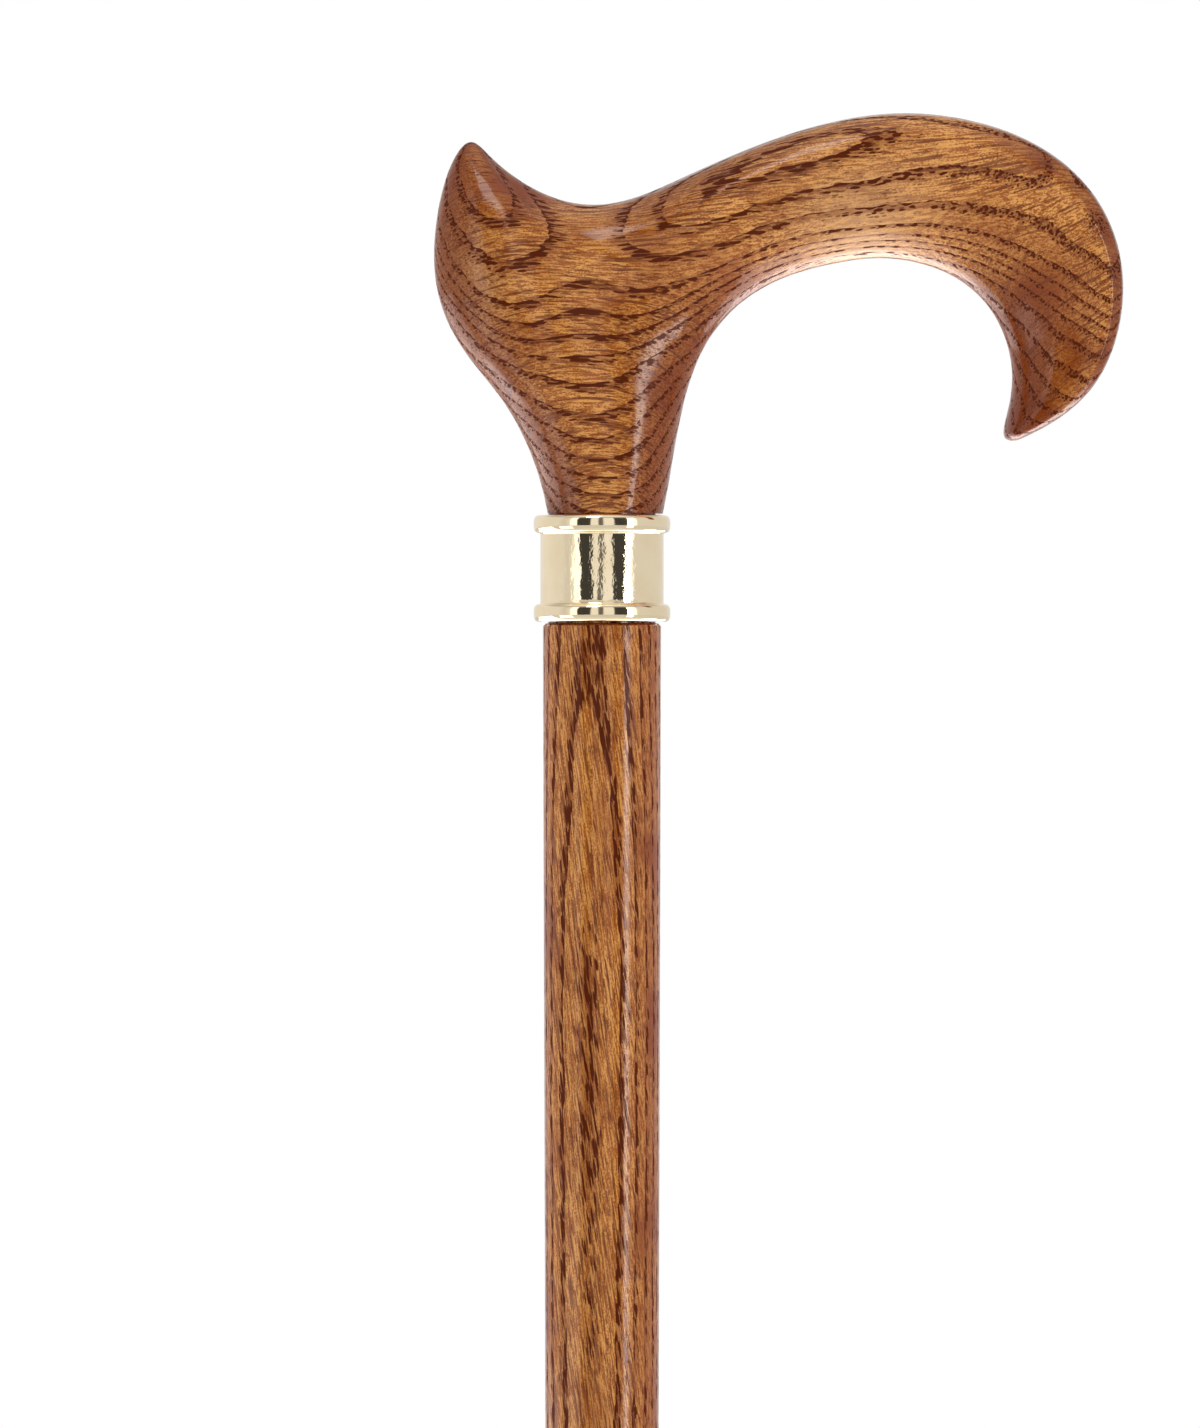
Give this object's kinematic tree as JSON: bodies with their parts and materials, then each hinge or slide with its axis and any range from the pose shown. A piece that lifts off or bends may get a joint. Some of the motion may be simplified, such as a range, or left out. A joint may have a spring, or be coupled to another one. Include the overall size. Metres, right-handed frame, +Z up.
{
  "type": "walking cane",
  "caption": "Lacquered hardwood walking cane with a carved derby handle, a plain brass collar, a tapered round shaft and a rubber ferrule.",
  "frame": {"origin": "centre of the ferrule's tread, on the shaft's axis", "axes": "+Z up along the shaft, +X along the handle towards its nose, +Y square to the handle's plane of symmetry"},
  "size_m": [0.1282, 0.036, 0.914],
  "materials": {
    "handle_wood": "stained open-grained hardwood under gloss lacquer",
    "shaft_wood": "stained open-grained hardwood under gloss lacquer",
    "collar_brass": "polished pale brass casting, slightly rippled",
    "screw_steel": "plain zinc plated",
    "ferrule_rubber": "matt black moulded rubber",
    "washer_steel": "plain stamped disc"
  },
  "bodies": {
    "cane": {"handle": "handle_wood", "collar": "collar_brass", "dowel_screw": "screw_steel", "shaft": "shaft_wood"},
    "ferrule_tip": {"ferrule": "ferrule_rubber", "ferrule_washer": "washer_steel"}
  },
  "joints": [
    {"name": "ferrule_pull", "type": "slide", "parent": "cane", "child": "ferrule_tip", "axis": [0, 0, -1], "range_m": [0, 0.04]}
  ]
}
